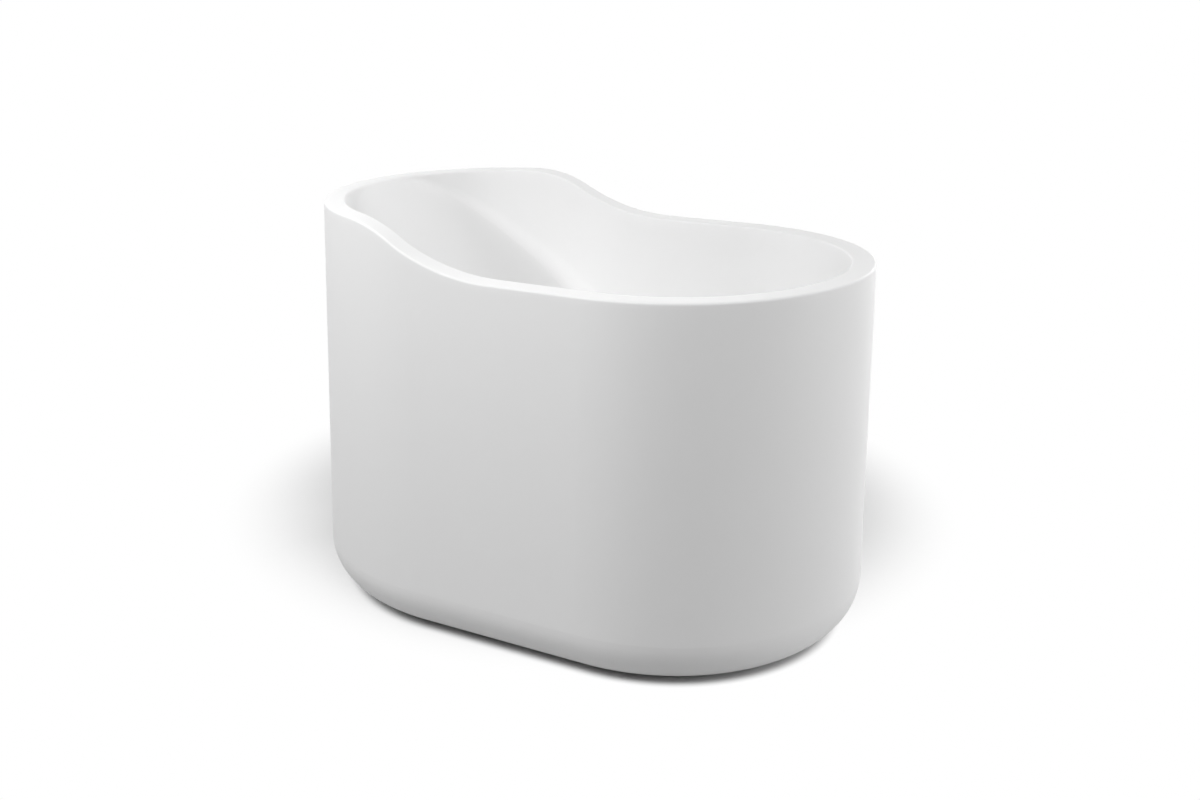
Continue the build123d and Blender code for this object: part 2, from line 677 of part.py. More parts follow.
plate_plane = overflow_plane.offset(overflow_gasket_thickness)
overflow_x = pad_face + overflow_gasket_thickness + chamber_depth / 2
chamber_bottom = overflow_level - overflow_plate_height / 2
top_mouth = Plane((overflow_x, 0, chamber_bottom - socket_length), x_dir=(0, 1, 0), z_dir=(0, 0, -1))
with BuildPart() as overflow_box:
    with BuildSketch(plate_plane):
        RectangleRounded(chamber_width, overflow_plate_height, chamber_corner)
    extrude(amount=chamber_depth)
    fillet(overflow_box.faces().sort_by(Axis.X)[-1].edges(), chamber_corner / 2)
    with BuildSketch(plate_plane):
        RectangleRounded(overflow_plate_width, overflow_plate_height, chamber_corner)
        with GridLocations(overflow_screw_spacing, 0, 2, 1):
            Circle(overflow_screw / 2 + bolt_clearance, mode=Mode.SUBTRACT)
    extrude(amount=overflow_plate_thickness)
    with BuildSketch(top_mouth):
        Circle(socket_diameter / 2)
    extrude(amount=-socket_length)
    with BuildSketch(plate_plane):
        Rectangle(chamber_width - 2 * chamber_wall, overflow_plate_height - 2 * chamber_wall)
    extrude(amount=chamber_depth - chamber_wall, mode=Mode.SUBTRACT)
    with BuildSketch(top_mouth):
        Circle(pipe_bore / 2)
    extrude(amount=-socket_length - chamber_wall, mode=Mode.SUBTRACT)
    with BuildSketch(top_mouth):
        Circle(socket_bore / 2)
    extrude(amount=-pipe_entry, mode=Mode.SUBTRACT)
overflow_box.part.label = "overflow_box"
export_step(overflow_box.part, "parts/overflow_box.step")

head_plane = plate_plane.offset(overflow_plate_thickness)
with BuildPart() as overflow_screws:
    with BuildSketch(head_plane):
        with GridLocations(overflow_screw_spacing, 0, 2, 1):
            Circle(overflow_screw_head / 2)
    extrude(amount=overflow_screw_head_height)
    fillet(overflow_screws.faces().sort_by(Axis.X)[-1].edges(), overflow_screw_head_height / 3)
    with BuildSketch(head_plane):
        with GridLocations(overflow_screw_spacing, 0, 2, 1):
            Circle(overflow_screw / 2)
    extrude(amount=-overflow_screw_length)
overflow_screws.part.label = "overflow_screws"
export_step(overflow_screws.part, "parts/overflow_screws.step")

# Overflow pipe: down behind the low end, one bend, and along under the well to the tee
bottom_mouth = branch_plane.offset(branch_reach)
with BuildPart() as overflow_pipe:
    with BuildLine():
        FilletPolyline(
            (overflow_x, 0, chamber_bottom - socket_length + pipe_entry),
            (overflow_x, 0, branch_level),
            (waste_x + branch_reach - pipe_entry, 0, branch_level),
            radius=pipe_bend,
        )
    with BuildSketch(top_mouth.offset(-pipe_entry)):
        Circle(pipe_diameter / 2)
        Circle(pipe_bore / 2, mode=Mode.SUBTRACT)
    sweep()
overflow_pipe.part.label = "overflow_pipe"
export_step(overflow_pipe.part, "parts/overflow_pipe.step")

# Union nuts and cone seals at both ends of the pipe
for end, mouth in (("top", top_mouth), ("bottom", bottom_mouth)):
    with BuildPart() as nut:
        add(union_nut(mouth))
    nut.part.label = f"overflow_nut_{end}"
    export_step(nut.part, f"parts/overflow_nut_{end}.step")
    with BuildPart() as seal:
        add(ring(mouth, socket_diameter, pipe_diameter, union_seal_thickness))
    seal.part.label = f"overflow_seal_{end}"
    export_step(seal.part, f"parts/overflow_seal_{end}.step")
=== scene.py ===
import math

import bmesh
import bpy
import numpy as np
from mathutils import Matrix, Vector


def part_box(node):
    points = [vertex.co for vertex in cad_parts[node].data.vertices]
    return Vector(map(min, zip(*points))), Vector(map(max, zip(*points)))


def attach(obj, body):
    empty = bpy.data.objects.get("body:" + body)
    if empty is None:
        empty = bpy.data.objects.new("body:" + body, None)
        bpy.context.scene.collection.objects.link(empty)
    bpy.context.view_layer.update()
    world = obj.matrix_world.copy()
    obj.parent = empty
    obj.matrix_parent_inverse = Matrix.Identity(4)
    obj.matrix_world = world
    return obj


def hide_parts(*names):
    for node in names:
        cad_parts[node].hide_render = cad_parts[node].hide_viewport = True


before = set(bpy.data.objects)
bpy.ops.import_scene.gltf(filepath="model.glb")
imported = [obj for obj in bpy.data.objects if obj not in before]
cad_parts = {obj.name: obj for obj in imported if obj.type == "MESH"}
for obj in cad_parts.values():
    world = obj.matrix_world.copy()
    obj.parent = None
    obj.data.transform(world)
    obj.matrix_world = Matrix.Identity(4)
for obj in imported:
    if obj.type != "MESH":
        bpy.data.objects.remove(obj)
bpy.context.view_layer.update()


# Skirt: the outer half of the tub, cast from stone powder and resin. Its wall leans in towards the rim and is
# turned under at the floor into a flat ring. Like the basin it has a fine matt coat, sanded by hand.
class Wire:
    """A value that varies over a surface; sums and products of it become Math nodes."""

    def __init__(self, tree, socket):
        self.tree = tree
        self.socket = socket

    def maths(self, operation, *values):
        return self.tree.node("ShaderNodeMath", {"operation": operation}, values)

    def __add__(self, other):
        return self.maths("ADD", self, other)

    def __sub__(self, other):
        return self.maths("SUBTRACT", self, other)

    def __rsub__(self, other):
        return self.maths("SUBTRACT", other, self)

    def __mul__(self, other):
        return self.maths("MULTIPLY", self, other)

    def __pow__(self, other):
        return self.maths("POWER", self, other)

    def __abs__(self):
        return self.maths("ABSOLUTE", self)

    __radd__ = __add__
    __rmul__ = __mul__


class Nodes:
    """The shader nodes of a material or of the world."""

    def __init__(self, owner):
        owner.use_nodes = True
        self.nodes = owner.node_tree.nodes
        self.links = owner.node_tree.links

    def node(self, kind, settings, values, output=None):
        """Adds a node from its type, its settings, and the values or wires of its sockets, in order or by name."""
        node = self.nodes.new(kind)
        for setting, value in settings.items():
            setattr(node, setting, value)
        if isinstance(values, dict):
            sockets = {socket.identifier: socket for socket in node.inputs}
            values = {sockets[name]: value for name, value in values.items()}
        else:
            values = dict(zip(node.inputs, values))
        for socket, value in values.items():
            self.plug(socket, value)
        outputs = {socket.identifier: socket for socket in node.outputs}
        return Wire(self, outputs[output] if output else node.outputs[0])

    def plug(self, socket, value):
        if isinstance(value, Wire):
            self.links.new(value.socket, socket)
        else:
            socket.default_value = value


class Finish(Nodes):
    """A material, named after its slot in the part's record, with what is the same all over the surface."""

    def __init__(self, slot, constants):
        self.slot = slot
        self.material = bpy.data.materials.new(slot)
        super().__init__(self.material)
        self.shader = self.nodes["Principled BSDF"]
        self.place = self.node("ShaderNodeTexCoord", {}, (), "Object")
        for name, value in constants.items():
            self.feed(name, value)

    def feed(self, name, value):
        self.plug(self.shader.inputs[name], value)

    def noise(self, scale, detail=2.0, roughness=0.5, place=None):
        sockets = {"Vector": place or self.place, "Scale": scale, "Detail": detail, "Roughness": roughness}
        return self.node("ShaderNodeTexNoise", {}, sockets)

    def between(self, amount, first, second):
        """A colour between two, by an amount from 0 to 1."""
        sockets = {"Factor_Float": amount, "A_Color": (*first, 1.0), "B_Color": (*second, 1.0)}
        return self.node("ShaderNodeMix", {"data_type": "RGBA"}, sockets, "Result_Color")

    def relief(self, height, depth, strength=1.0):
        """Bumps the surface by a height from 0 to 1, as deep as depth in metres."""
        sockets = {"Strength": strength, "Distance": depth, "Height": height}
        self.feed("Normal", self.node("ShaderNodeBump", {}, sockets))

    def on(self, *nodes):
        for name in nodes:
            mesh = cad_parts[name].data
            mesh.materials.clear()
            mesh.materials.append(self.material)


cast_stone = Finish("cast_stone", {"Base Color": (0.86, 0.86, 0.86, 1.0), "Specular IOR Level": 0.3})
cloud = cast_stone.noise(14.0, 4.0)
cast_stone.feed("Roughness", 0.5 + 0.08 * cloud)
cast_stone.relief(cast_stone.noise(900.0, 2.0), 0.0001, 0.3)
cast_stone.on("outer_skirt")

# Frame tubes: square steel tube with rounded corners, sawn, drilled and powder coated. The cross tubes lie on the
# skirt's ring, and the long tubes lie on them and reach out over the feet.
powder_coat = Finish("painted_steel", {"Roughness": 0.5})
speck = powder_coat.noise(90.0, 3.0)
powder_coat.feed("Base Color", powder_coat.between(speck, (0.03, 0.032, 0.034), (0.05, 0.052, 0.055)))
powder_coat.relief(powder_coat.noise(700.0, 2.0), 0.0004, 0.5)
powder_coat.on("cross_tube_head", "cross_tube_seat", "long_tube_left", "long_tube_right")


# Frame bolts and nuts: M8 bolts of zinc-plated steel that go down through both tubes where they cross, each with
# a hexagon head and a rolled thread, and a nut below the cross tube.
class Form:
    """The mesh of one piece in millimetres, built up from skins round it."""

    def __init__(self):
        self.points = []
        self.faces = []

    def skin(self, rows, closed=False):
        """Skin over rows of points, with flat ends, or closed round if the last row meets the first."""
        first, count = len(self.points), len(rows[0])
        self.points += [tuple(point) for row in rows for point in row]
        for i in range(len(rows) if closed else len(rows) - 1):
            row, next_row = first + i * count, first + (i + 1) % len(rows) * count
            for k in range(count):
                self.faces.append((row + k, row + (k + 1) % count, next_row + (k + 1) % count, next_row + k))
        if not closed:
            self.faces.append(tuple(range(first + count - 1, first - 1, -1)))
            self.faces.append(tuple(range(len(self.points) - count, len(self.points))))

    def turned(self, centre, profile, reach=None, count=48, closed=False):
        """Turned form from a profile of radius and height, whose radius may also follow the angle."""
        turns = [math.tau * k / count for k in range(count)]
        rows = []
        for radius, height in profile:
            row = []
            for turn in turns:
                out = reach(radius, turn, height) if reach else radius
                row.append((centre[0] + out * math.cos(turn), centre[1] + out * math.sin(turn), height))
            rows.append(row)
        self.skin(rows, closed)

    def hexagon(self, centre, across, bottom, top, chamfer):
        """Hexagon head or nut whose corners are turned off at both faces."""
        side = math.pi / 3

        def flats(limit, turn, _):
            return min(limit, across / 2 / math.cos((turn + side / 2) % side - side / 2))

        face, corner = 0.96 * across / 2, across
        self.turned(centre, [(face, bottom), (corner, bottom + chamfer), (corner, top - chamfer), (face, top)], flats)

    def thread(self, centre, radius, pitch, bottom, top):
        """Rod with a rolled thread that winds up it."""
        depth, roundness, levels_per_turn = 0.3 * pitch, 1.2, 7

        def ridge(outer, turn, height):
            phase = (height / pitch - turn / math.tau) % 1
            return outer - depth * abs(2 * phase - 1) ** roundness

        steps = int((top - bottom) / pitch * levels_per_turn)
        levels = [bottom + (top - bottom) * k / steps for k in range(steps + 1)]
        ends = [min(height - bottom, top - height) for height in levels]
        profile = [(radius - max(0.0, pitch / 2 - end), height) for end, height in zip(ends, levels)]
        self.turned(centre, profile, ridge, 32)

    def made(self, name):
        """The form as an object in metres, with coinciding points joined."""
        mesh = bpy.data.meshes.new(name)
        mesh.from_pydata([[value / 1000 for value in point] for point in self.points], [], self.faces)
        form = bmesh.new()
        form.from_mesh(mesh)
        bmesh.ops.remove_doubles(form, verts=form.verts, dist=2e-5)
        bmesh.ops.recalc_face_normals(form, faces=form.faces)
        form.to_mesh(mesh)
        form.free()
        piece = bpy.data.objects.new(name, mesh)
        bpy.context.scene.collection.objects.link(piece)
        return piece


def dress(piece, finish, body, replaced=None, sharp=35.0):
    """Smooths a piece up to its edges, gives it its finish and its body, and hides the node that it stands in for."""
    piece.data.shade_smooth()
    piece.data.set_sharp_from_angle(angle=math.radians(sharp))
    piece.data.materials.clear()
    piece.data.materials.append(finish.material)
    if replaced:
        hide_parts(replaced)
    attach(piece, body)


zinc = Finish("zinc_steel", {"Metallic": 1.0})
spangle = zinc.noise(260.0, 4.0)
zinc.feed("Base Color", zinc.between(spangle, (0.50, 0.51, 0.53), (0.68, 0.69, 0.70)))
zinc.feed("Roughness", 0.28 + 0.2 * spangle)
foot_x, foot_y = 408.832, 173.553
head_tube_x, seat_tube_x = -182.0, 62.69
ring_top, cross_tube_top, long_tube_top = 14.0, 39.0, 69.0
bolt_radius, bolt_pitch, bolt_flats, bolt_head = 4.0, 1.25, 13.0, 5.3
bolt_end, thread_top, nut_bottom = 7.6, 31.0, 7.5
head_chamfer, nut_chamfer = 0.7, 0.8
bolts, nuts = Form(), Form()
for crossing in [(x, y) for x in (head_tube_x, seat_tube_x) for y in (-foot_y, foot_y)]:
    bolts.hexagon(crossing, bolt_flats, long_tube_top, long_tube_top + bolt_head, head_chamfer)
    bolts.turned(crossing, [(bolt_radius, thread_top - 1), (bolt_radius, long_tube_top + 1)])
    bolts.thread(crossing, bolt_radius, bolt_pitch, bolt_end, thread_top)
    nuts.hexagon(crossing, bolt_flats, nut_bottom, ring_top, nut_chamfer)
dress(bolts.made("threaded_frame_bolts"), zinc, "tub", "frame_bolts")
dress(nuts.made("frame_nuts_chamfered"), zinc, "tub", "frame_nuts")

# Skirt screws: countersunk steel screws with a hexagon socket, driven from below through the skirt's ring into the
# cross tubes.
zinc.on("skirt_screws")

# Seat posts: square steel tube with a plate welded on each end, powder coated. Each stands on a cross tube and
# carries the seat. The weld runs round the foot and the head of the tube.
powder_coat.on("seat_post_left", "seat_post_right")
post_half, post_corner, plate, seat_underside = 12.5, 3.0, 4.0, 418.0
post_y, flat_steps, corner_steps = 110.0, 24, 4
bead, ripple, ripple_pace, bead_count = 1.9, 0.35, 0.9, 10
path = []
for quarter in range(4):
    turn = math.tau * quarter / 4
    for k in range(flat_steps):
        side = -post_half + post_corner + 2 * (post_half - post_corner) * k / (flat_steps - 1)
        path.append((post_half, side, turn, 0.0))
    for k in range(1, corner_steps):
        bend = math.radians(90.0 * k / corner_steps)
        path.append((post_half - post_corner, post_half - post_corner, turn, bend))
beads = Form()
for middle in (-post_y, post_y):
    for level, way in ((cross_tube_top + plate, 1), (seat_underside - plate, -1)):
        rows = []
        for number, (out, side, turn, bend) in enumerate(path):
            swell = bead + ripple * abs(math.sin(ripple_pace * number))
            along, across = math.cos(turn + bend), math.sin(turn + bend)
            corner = post_corner if bend else 0.0
            x = seat_tube_x + out * math.cos(turn) - side * math.sin(turn) + corner * along
            y = middle + out * math.sin(turn) + side * math.cos(turn) + corner * across
            row = []
            for k in range(bead_count):
                proud, up = math.cos(math.tau * k / bead_count), math.sin(math.tau * k / bead_count)
                row.append((x + swell * proud * along, y + swell * proud * across, level + way * swell * up))
            rows.append(row)
        beads.skin(rows, closed=True)
dress(beads.made("seat_post_welds"), powder_coat, "tub", sharp=80.0)

# Bearers: blocks of sawn hardwood that lie on the long tubes and carry the underside of the well over its whole
# width. Their long edges are planed off.
hardwood = Finish("hardwood", {"Roughness": 0.6})
along_the_block = hardwood.node("ShaderNodeVectorMath", {"operation": "MULTIPLY"}, (hardwood.place, (0.6, 6.0, 6.0)))
grain = hardwood.noise(26.0, 6.0, 0.6, along_the_block)
hardwood.feed("Base Color", hardwood.between(grain, (0.20, 0.105, 0.045), (0.46, 0.29, 0.15)))
hardwood.relief(grain, 0.0006)
hardwood.on("well_bearer_left", "well_bearer_right")

# Bushes and lock nuts: turned steel bushes pressed through the long tubes, and a nut on each stud that is drawn
# up tight under the bush once the tub stands level.
zinc.on("foot_bushes")
feet = [(x, y) for x in (-foot_x, foot_x) for y in (-foot_y, foot_y)]
lock_nut_flats, lock_nut_bottom, lock_nut_top = 19.0, 30.0, 36.0
lock_nuts = Form()
for foot in feet:
    lock_nuts.hexagon(foot, lock_nut_flats, lock_nut_bottom, lock_nut_top, nut_chamfer)
dress(lock_nuts.made("foot_lock_nuts_chamfered"), zinc, "tub", "foot_lock_nuts")

# Levelling feet: an M12 stud with a hexagon for the spanner and a ball at its end, which snaps into the cup of a
# moulded nylon pad. The pad can swivel under it.
nylon = Finish("black_nylon", {"Roughness": 0.55})
nylon.feed("Base Color", nylon.between(nylon.noise(200.0), (0.016, 0.016, 0.017), (0.028, 0.028, 0.03)))
nylon.relief(nylon.noise(1500.0), 0.0002, 0.4)
stud_radius, stud_pitch, stud_flats, stud_top = 6.0, 1.75, 17.0, 90.0
ball_centre, ball_radius, neck, hex_bottom, hex_height = 9.5, 7.0, 5.0, 14.0, 6.0
neck_turn, ball_steps, tip = math.asin(neck / ball_radius), 14, 0.05
ball = []
for k in range(ball_steps + 1):
    turn = math.pi - (math.pi - neck_turn) * k / ball_steps
    ball.append((max(tip, ball_radius * math.sin(turn)), ball_centre + ball_radius * math.cos(turn)))
for number, foot in enumerate(feet, 1):
    stud = Form()
    stud.turned(foot, [*ball, (neck, hex_bottom + 1)])
    stud.hexagon(foot, stud_flats, hex_bottom, hex_bottom + hex_height, nut_chamfer)
    stud.thread(foot, stud_radius, stud_pitch, hex_bottom + hex_height - 1, stud_top)
    dress(stud.made(f"threaded_stud_{number}"), zinc, f"foot_{number}", f"foot_stud_{number}")
    nylon.on(f"foot_pad_{number}")

# Basin: the inner half of the tub, cast in one piece with the rim land, the backrest, the seat and the foot
# well. Its walls stand on the mould draft, and the crease round the backrest gets softer as it goes down. It
# rests on the skirt's top edge and is bonded there by the lip under the land.
rim_tall, step_start, shoulder_radius, dip_radius, step_angle = 908.0, -374.0, 266.0, 478.0, math.radians(29.0)
low_rim_slope, low_rim_radius = math.radians(0.4), 36000.0
end_centre, rim_inner_half = 202.0, 578.22
basin_draft, backrest_angle, backrest_far = math.radians(2.0), math.radians(42.6), 1200.0
backrest_foot, seat_front, seat_height = -53.4, 182.0, 430.0
riser_foot, well_height, basin_wall = 237.0, 118.0, 12.0
seat_back_radius, seat_front_radius, riser_radius = 120.0, 50.0, 90.0
crease_levels, crease_radii = (118.0, 300.0, 650.0, 800.0, 870.0, 908.0), (60.0, 60.0, 50.0, 42.0, 34.0, 25.0)
rim_thickness, rim_edge = 14.0, 6.5
skirt_wall, lip_gap, lip_thickness, lip_depth = 10.0, 0.4, 6.0, 14.0
outer_half_width, skirt_draft = 446.0, math.tan(math.radians(1.5))
tall_fan, low_fan, fan_step = -250.0, 340.0, 3.0
speck_of_length = 1e-6


def rim_level(x):
    """Height of the rim land: tall land, shoulder, dip and the long rise of the low land."""
    dip_start = step_start + shoulder_radius * math.sin(step_angle)
    dip_end = dip_start + dip_radius * (math.sin(step_angle) + math.sin(low_rim_slope))
    dip_top = rim_tall - shoulder_radius * (1 - math.cos(step_angle))
    dip_x, dip_z = dip_start + dip_radius * math.sin(step_angle), dip_top + dip_radius * math.cos(step_angle)
    land_start = dip_z - dip_radius * math.cos(low_rim_slope)
    land_x = dip_end - low_rim_radius * math.sin(low_rim_slope)
    land_z = land_start + low_rim_radius * math.cos(low_rim_slope)
    shoulder = rim_tall - shoulder_radius + np.sqrt(np.maximum(shoulder_radius**2 - (x - step_start) ** 2, 0))
    dip = dip_z - np.sqrt(np.maximum(dip_radius**2 - (x - dip_x) ** 2, 0))
    land = land_z - np.sqrt(low_rim_radius**2 - (x - land_x) ** 2)
    return np.where(x < step_start, rim_tall, np.where(x < dip_start, shoulder, np.where(x < dip_end, dip, land)))


def rounded_line(corners, radii, step=math.radians(2.5)):
    """Points and upward normals of a line whose inner corners are rounded."""
    corners = [np.array(corner, float) for corner in corners]
    ways = [(b - a) / np.linalg.norm(b - a) for a, b in zip(corners, corners[1:])]
    sides = [np.array((-way[1], way[0])) for way in ways]
    points, normals = [corners[0]], [sides[0]]
    for corner, radius, side, next_side in zip(corners[1:-1], radii, sides, sides[1:]):
        turn = math.atan2(side[0] * next_side[1] - side[1] * next_side[0], side @ next_side)
        bulge = math.copysign(1.0, turn)
        centre = corner + bulge * (side + next_side) * radius / (1 + side @ next_side)
        steps = max(2, int(abs(turn) / step))
        for k in range(steps + 1):
            along, across = math.cos(turn * k / steps), math.sin(turn * k / steps)
            normal = np.array((side[0] * along - side[1] * across, side[0] * across + side[1] * along))
            points.append(centre - bulge * radius * normal)
            normals.append(normal)
    points.append(corners[-1])
    normals.append(sides[-1])
    return np.array(points), np.array(normals)


floor_corners = [
    (backrest_foot - backrest_far, seat_height + backrest_far * math.tan(backrest_angle)),
    (backrest_foot, seat_height),
    (seat_front, seat_height),
    (riser_foot, well_height),
    (backrest_far, well_height),
]
basin_floor, floor_normals = rounded_line(floor_corners, [seat_back_radius, seat_front_radius, riser_radius])


def above_floor(x, z):
    """Distance above the line of backrest, seat, riser and well, and its normal there."""
    starts, spans = basin_floor[:-1], basin_floor[1:] - basin_floor[:-1]
    place = np.stack([x, z], -1)[..., None, :]
    along = np.clip(((place - starts) * spans).sum(-1) / (spans**2).sum(-1), 0, 1)
    away = place - starts - along[..., None] * spans
    nearest = (away**2).sum(-1).argmin(-1)[..., None]
    share = np.take_along_axis(along, nearest, -1)
    normal = (1 - share) * floor_normals[nearest[..., 0]] + share * floor_normals[nearest[..., 0] + 1]
    normal /= np.linalg.norm(normal, axis=-1, keepdims=True)
    gap = np.take_along_axis(away, nearest[..., None], -2)[..., 0, :]
    return (gap * normal).sum(-1), normal


def basin_surface(x, y, z):
    """How far a point stands inside the bathing space, and the way that leads further in."""
    beyond = np.copysign(np.maximum(np.abs(x) - end_centre, 0), x)
    reach = np.maximum(np.hypot(beyond, y), speck_of_length)
    lean, upright = math.sin(basin_draft), math.cos(basin_draft)
    wall = np.stack([-upright * beyond / reach, -upright * y / reach, np.full_like(x, lean)], -1)
    from_wall = (rim_inner_half - end_centre - reach) * upright - (rim_tall - z) * lean
    from_floor, profile = above_floor(x, z)
    floor = np.stack([profile[..., 0], np.zeros_like(x), profile[..., 1]], -1)
    radius = np.interp(z, crease_levels, crease_radii)
    facing = (wall * floor).sum(-1)
    to_wall, to_floor = radius - from_wall, radius - from_floor
    wall_part = (to_wall - facing * to_floor) / (1 - facing**2)
    floor_part = (to_floor - facing * to_wall) / (1 - facing**2)
    crease = wall_part[..., None] * wall + floor_part[..., None] * floor
    span = np.maximum(np.linalg.norm(crease, axis=-1), speck_of_length)
    rounded = (wall_part > 0) & (floor_part > 0)
    nearer_wall = from_wall < from_floor
    inside = np.where(rounded, radius - span, np.where(nearer_wall, from_wall, from_floor))
    plain = np.where(nearer_wall[..., None], wall, floor)
    return inside, np.where(rounded[..., None], crease / span[..., None], plain)


def rib_starts(rib_count=110, trials=2000):
    """Where the ribs start and their ways: across the seat and well, and like a fan round each end."""
    fan = [math.radians(k * fan_step) for k in range(1, int(180 / fan_step))]
    places = np.linspace(tall_fan, low_fan, trials)
    levels = np.interp(places, *basin_floor.T)
    length = np.concatenate([[0], np.cumsum(np.hypot(np.diff(places), np.diff(levels)))])
    across = np.interp(np.linspace(0, length[-1], rib_count), length, places)
    quarter = math.pi / 2
    starts = [(low_fan, math.cos(turn - quarter), math.sin(turn - quarter)) for turn in fan]
    starts += [(x, 0.0, 1.0) for x in across[::-1]]
    starts += [(tall_fan, math.cos(turn + quarter), math.sin(turn + quarter)) for turn in fan]
    starts += [(x, 0.0, -1.0) for x in across]
    return np.array(starts)


def trace_ribs(starts, stride=3.0, most_strides=600, corrections=3, least_steepness=1e-4):
    """Follows the surface along every rib from the middle up to the rim, and returns reaches and levels."""
    ways = starts[:, 1:]
    reach = np.zeros(len(starts))
    level = np.interp(starts[:, 0], basin_floor[:, 0], basin_floor[:, 1])
    track = []
    for _ in range(most_strides):
        for _ in range(corrections):
            x, y = starts[:, 0] + reach * ways[:, 0], reach * ways[:, 1]
            inside, normal = basin_surface(x, y, level)
            slope_out, slope_up = (normal[:, :2] * ways).sum(1), normal[:, 2]
            steep = np.maximum(slope_out**2 + slope_up**2, least_steepness)
            reach, level = reach - inside * slope_out / steep * (reach > 0), level - inside * slope_up / steep
        track.append((reach, level))
        if (level > rim_level(x) - rim_edge).all():
            break
        size = np.hypot(slope_out, slope_up)
        reach, level = reach + stride * slope_up / size, level - stride * slope_out / size
    return np.array(track)


def basin_ribs(starts, samples=56, edge_samples=5, least_rise=0.2):
    """Closed section of the casting along every rib: inside, rim land, bonding lip and outside."""
    track = trace_ribs(starts)
    ribs = []
    for (middle, *way), reach, level in zip(starts, track[:, 0].T, track[:, 1].T):
        x, y = middle + reach * way[0], reach * way[1]
        last = int(np.argmax(level > rim_level(x) - rim_edge))
        line = np.stack([x, y, level], 1)[: last + 1]
        runs = np.diff(line, axis=0)
        length = np.linalg.norm(runs, axis=1)
        ways = runs / length[:, None]
        turn = np.arccos(np.clip((ways[1:] * ways[:-1]).sum(1), -1, 1))
        travelled = np.concatenate([[0], np.cumsum(length)]) / length.sum()
        turned = np.concatenate([[0, 0], np.cumsum(turn)]) / max(turn.sum(), speck_of_length)
        share = (travelled + turned) / 2
        inside = np.stack([np.interp(np.linspace(0, 1, samples), share, axis) for axis in line.T], 1)
        rise = ways[-1]
        corner = inside[-1] + rise * (rim_edge / max(rise[2], least_rise))
        foot = np.array([np.clip(corner[0], -end_centre, end_centre), 0, 0])
        out = corner - foot
        out[2] = 0
        corner_reach = np.linalg.norm(out)
        out /= corner_reach

        def at(reach, drop):
            place = foot + reach * out
            return [place[0], place[1], float(rim_level(place[0])) - drop]

        def rounded(first, corner, last):
            first, corner, last = (np.array(point) for point in (first, corner, last))
            shares = np.linspace(0, 1, edge_samples + 2)[1:-1]
            return [(1 - s) ** 2 * first + 2 * s * (1 - s) * corner + s * s * last for s in shares]

        outer = outer_half_width - skirt_draft * float(rim_level(foot[0] + corner_reach * out[0]))
        land_start, land_end = at(corner_reach + rim_edge, 0), at(outer - rim_edge, 0)
        side_top, lip = at(outer, rim_edge), outer - skirt_wall - lip_gap
        section = [*inside, *rounded(inside[-1], at(corner_reach, 0), land_start), land_start]
        section += [at((corner_reach + outer) / 2, 0), land_end, *rounded(land_end, at(outer, 0), side_top), side_top]
        section += [at(outer + skirt_draft * rim_thickness, rim_thickness), at(lip, rim_thickness)]
        section += [at(lip, rim_thickness + lip_depth), at(lip - lip_thickness, rim_thickness + lip_depth)]
        section += [at(lip - lip_thickness, rim_thickness)]
        _, normal = basin_surface(*inside.T)
        outside = inside - basin_wall * normal
        outside[:, 2] = np.minimum(outside[:, 2], rim_level(outside[:, 0]) - rim_thickness)
        ribs.append(np.array([*section, *outside[::-1]]))
    return np.array(ribs)


def cutter(outline, way, depth):
    """Solid for cutting or joining, from an outline of points that runs along a way by a depth."""
    tool = Form()
    tool.skin([outline, [[value + depth * run for value, run in zip(point, way)] for point in outline]])
    return tool


def cut(piece, tools, operation="DIFFERENCE"):
    """Cuts the tools out of a piece, or joins them to it."""
    tools = [tool.made("tool") for tool in tools]
    for tool in tools:
        change = piece.modifiers.new(tool.name, "BOOLEAN")
        change.operation, change.solver, change.object = operation, "EXACT", tool
    bpy.context.view_layer.update()
    finished = bpy.data.meshes.new_from_object(piece.evaluated_get(bpy.context.evaluated_depsgraph_get()))
    piece.modifiers.clear()
    piece.data = finished
    for tool in tools:
        bpy.data.objects.remove(tool)


def circle(centre, radius, level, count=96):
    turns = [math.tau * (k + 0.5) / count for k in range(count)]
    return [(centre + radius * math.cos(turn), radius * math.sin(turn), level) for turn in turns]


ribs = basin_ribs(rib_starts())
rib_count, section_count = ribs.shape[:2]
casting = Form()
casting.points = ribs.reshape(-1, 3).tolist()
for i in range(rib_count):
    row, next_row = i * section_count, (i + 1) % rib_count * section_count
    casting.faces += [(row + j, next_row + j, next_row + j + 1, row + j + 1) for j in range(section_count - 1)]
cast_basin = casting.made("cast_basin")

pad_face, pad_depth, pad_half_width, pad_half_height = 588.41, 14.5, 62.0, 23.0
overflow_level, slot_half, slot_radius, slot_depth, slot_steps = 741.64, 37.0, 5.0, 45.0, 48
waste_x, boss_radius, boss_bottom, boss_top = 401.584, 50.0, 101.0, 110.0
hole_radius, recess_radius, recess_floor = 25.0, 37.0, 112.3
hole_start, hole_depth, recess_depth = 80.0, 60.0, 20.0
low, high = overflow_level - pad_half_height, overflow_level + pad_half_height
pad_outline = [
    (pad_face, y, z)
    for y, z in ((-pad_half_width, low), (pad_half_width, low), (pad_half_width, high), (-pad_half_width, high))
]
overflow_pad = cutter(pad_outline, (-1, 0, 0), pad_depth)
waste_boss = cutter(circle(waste_x, boss_radius, boss_bottom), (0, 0, 1), boss_top - boss_bottom)
cut(cast_basin, [overflow_pad, waste_boss], "UNION")
slot_outline = []
for k in range(slot_steps):
    turn = math.tau * (k + 0.5) / slot_steps
    y = math.copysign(slot_half, math.cos(turn)) + slot_radius * math.cos(turn)
    slot_outline.append((pad_face + slot_radius, y, overflow_level + slot_radius * math.sin(turn)))
slot = cutter(slot_outline, (-1, 0, 0), slot_depth)
hole = cutter(circle(waste_x, hole_radius, hole_start), (0, 0, 1), hole_depth)
